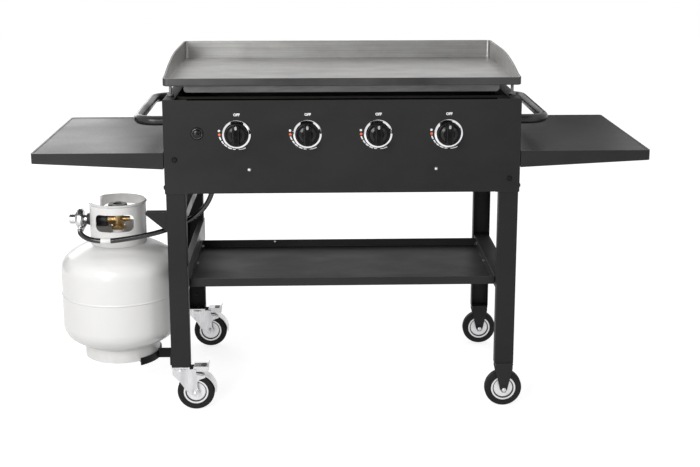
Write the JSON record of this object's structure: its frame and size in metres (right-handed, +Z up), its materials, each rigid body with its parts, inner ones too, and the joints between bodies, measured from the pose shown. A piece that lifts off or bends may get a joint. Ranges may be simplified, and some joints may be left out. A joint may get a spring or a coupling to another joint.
{
  "type": "outdoor gas griddle station",
  "caption": "Freestanding gas griddle on casters: flat steel cooking plate over a burner box with control knobs, side shelves, bottom shelf and a gas cylinder.",
  "frame": {"origin": "on the floor below the middle of the bounding box", "axes": "+X to the right as the cook sees it from the front, +Y from the front to the back, +Z up"},
  "size_m": [1.588, 0.6025, 0.926],
  "materials": {
    "black_powder_coat": "satin",
    "rolled_steel": "brushed",
    "bare_steel": "satin",
    "black_gloss": "gloss",
    "black_plastic": "matte",
    "chrome": "polished",
    "zinc": "satin",
    "black_fork": "satin",
    "stem_steel": "satin",
    "brass": "satin",
    "manifold_steel": "satin",
    "ceramic": "glazed",
    "tyre_rubber": "matte",
    "hub_grey": "satin",
    "cylinder_paint": "satin",
    "hose_rubber": "matte"
  },
  "bodies": {
    "stand": {"bottom_shelf": "black_powder_coat", "burner_rail": "bare_steel", "burners": "bare_steel", "caster_mounts": "zinc", "coupling_nut": "black_plastic", "cylinder": "cylinder_paint", "cylinder_collar": "cylinder_paint", "cylinder_holder": "black_powder_coat", "cylinder_valve": "brass", "frame_bolts": "zinc", "front_left_leg": "black_powder_coat", "front_panel": "black_powder_coat", "front_right_leg": "black_powder_coat", "gas_hose": "hose_rubber", "gas_valves": "brass", "heat_shield": "bare_steel", "igniter_electrodes": "ceramic", "igniter_housing": "black_plastic", "knob_bezels": "chrome", "left_braces": "black_powder_coat", "left_handle": "black_powder_coat", "left_side_shelf": "black_powder_coat", "left_side_wall": "black_powder_coat", "manifold": "manifold_steel", "rear_left_leg": "black_powder_coat", "rear_panel": "black_powder_coat", "rear_right_leg": "black_powder_coat", "regulator": "zinc", "right_brace": "black_powder_coat", "right_caster_forks": "black_fork", "right_handle": "black_powder_coat", "right_side_shelf": "black_powder_coat", "right_side_wall": "black_powder_coat", "shelf_brackets": "black_powder_coat"},
    "griddle": {"griddle_plate": "rolled_steel", "griddle_stiffeners": "bare_steel", "griddle_feet": "bare_steel"},
    "stem_1": {"valve_stem_1": "stem_steel"},
    "knob_1": {"knob_1": "black_gloss"},
    "stem_2": {"valve_stem_2": "stem_steel"},
    "knob_2": {"knob_2": "black_gloss"},
    "stem_3": {"valve_stem_3": "stem_steel"},
    "knob_3": {"knob_3": "black_gloss"},
    "stem_4": {"valve_stem_4": "stem_steel"},
    "knob_4": {"knob_4": "black_gloss"},
    "igniter_button": {"igniter_button": "black_gloss"},
    "front_left_caster": {"front_left_caster_fork": "zinc"},
    "front_left_wheel": {"front_left_tyre": "tyre_rubber", "front_left_hub": "hub_grey"},
    "front_left_pedal": {"front_left_brake_pedal": "zinc"},
    "front_right_wheel": {"front_right_tyre": "tyre_rubber", "front_right_hub": "hub_grey"},
    "rear_left_caster": {"rear_left_caster_fork": "zinc"},
    "rear_left_wheel": {"rear_left_tyre": "tyre_rubber", "rear_left_hub": "hub_grey"},
    "rear_left_pedal": {"rear_left_brake_pedal": "zinc"},
    "rear_right_wheel": {"rear_right_tyre": "tyre_rubber", "rear_right_hub": "hub_grey"},
    "valve_handwheel": {"valve_handwheel": "black_plastic"},
    "grease_cup": {"grease_cup": "zinc"}
  },
  "joints": [
    {"name": "griddle_lift", "type": "slide", "parent": "stand", "child": "griddle", "axis": [0, 0, 1], "range_m": [0, 0.06]},
    {"name": "knob_1_press", "type": "slide", "parent": "stand", "child": "stem_1", "axis": [0, 1, 0], "range_m": [0, 0.004], "stiffness_N_per_m": 400, "springref_m": -0.002},
    {"name": "knob_1_turn", "type": "hinge", "parent": "stem_1", "child": "knob_1", "pos_m": [-0.27075, -0.2868, 0.747], "axis": [0, -1, 0], "range_deg": [0, 180]},
    {"name": "knob_2_press", "type": "slide", "parent": "stand", "child": "stem_2", "axis": [0, 1, 0], "range_m": [0, 0.004], "stiffness_N_per_m": 400, "springref_m": -0.002},
    {"name": "knob_2_turn", "type": "hinge", "parent": "stem_2", "child": "knob_2", "pos_m": [-0.09025, -0.2868, 0.747], "axis": [0, -1, 0], "range_deg": [0, 180]},
    {"name": "knob_3_press", "type": "slide", "parent": "stand", "child": "stem_3", "axis": [0, 1, 0], "range_m": [0, 0.004], "stiffness_N_per_m": 400, "springref_m": -0.002},
    {"name": "knob_3_turn", "type": "hinge", "parent": "stem_3", "child": "knob_3", "pos_m": [0.09025, -0.2868, 0.747], "axis": [0, -1, 0], "range_deg": [0, 180]},
    {"name": "knob_4_press", "type": "slide", "parent": "stand", "child": "stem_4", "axis": [0, 1, 0], "range_m": [0, 0.004], "stiffness_N_per_m": 400, "springref_m": -0.002},
    {"name": "knob_4_turn", "type": "hinge", "parent": "stem_4", "child": "knob_4", "pos_m": [0.27075, -0.2868, 0.747], "axis": [0, -1, 0], "range_deg": [0, 180]},
    {"name": "igniter_press", "type": "slide", "parent": "stand", "child": "igniter_button", "axis": [0, 1, 0], "range_m": [0, 0.004], "stiffness_N_per_m": 400, "springref_m": -0.002},
    {"name": "front_left_swivel", "type": "hinge", "parent": "stand", "child": "front_left_caster", "pos_m": [-0.43, -0.2508, 0.11], "axis": [0, 0, 1], "continuous": true},
    {"name": "front_left_roll", "type": "hinge", "parent": "front_left_caster", "child": "front_left_wheel", "pos_m": [-0.392, -0.2508, 0.0495], "axis": [0, 1, 0], "continuous": true},
    {"name": "front_left_brake", "type": "hinge", "parent": "front_left_caster", "child": "front_left_pedal", "pos_m": [-0.395, -0.2508, 0.11182], "axis": [0, 1, 0], "range_deg": [0, 10]},
    {"name": "front_right_roll", "type": "hinge", "parent": "stand", "child": "front_right_wheel", "pos_m": [0.43, -0.2508, 0.0495], "axis": [0, 1, 0], "continuous": true},
    {"name": "rear_left_swivel", "type": "hinge", "parent": "stand", "child": "rear_left_caster", "pos_m": [-0.43, 0.2272, 0.11], "axis": [0, 0, 1], "continuous": true},
    {"name": "rear_left_roll", "type": "hinge", "parent": "rear_left_caster", "child": "rear_left_wheel", "pos_m": [-0.392, 0.2272, 0.0495], "axis": [0, 1, 0], "continuous": true},
    {"name": "rear_left_brake", "type": "hinge", "parent": "rear_left_caster", "child": "rear_left_pedal", "pos_m": [-0.395, 0.2272, 0.11182], "axis": [0, 1, 0], "range_deg": [0, 10]},
    {"name": "rear_right_roll", "type": "hinge", "parent": "stand", "child": "rear_right_wheel", "pos_m": [0.43, 0.2272, 0.0495], "axis": [0, 1, 0], "continuous": true},
    {"name": "cylinder_valve_turn", "type": "hinge", "parent": "stand", "child": "valve_handwheel", "pos_m": [-0.603, -0.1198, 0.524], "axis": [0, 0, 1], "range_deg": [0, 540]},
    {"name": "grease_cup_lift", "type": "slide", "parent": "stand", "child": "grease_cup", "axis": [0, 0, 1], "range_m": [0, 0.01]}
  ]
}
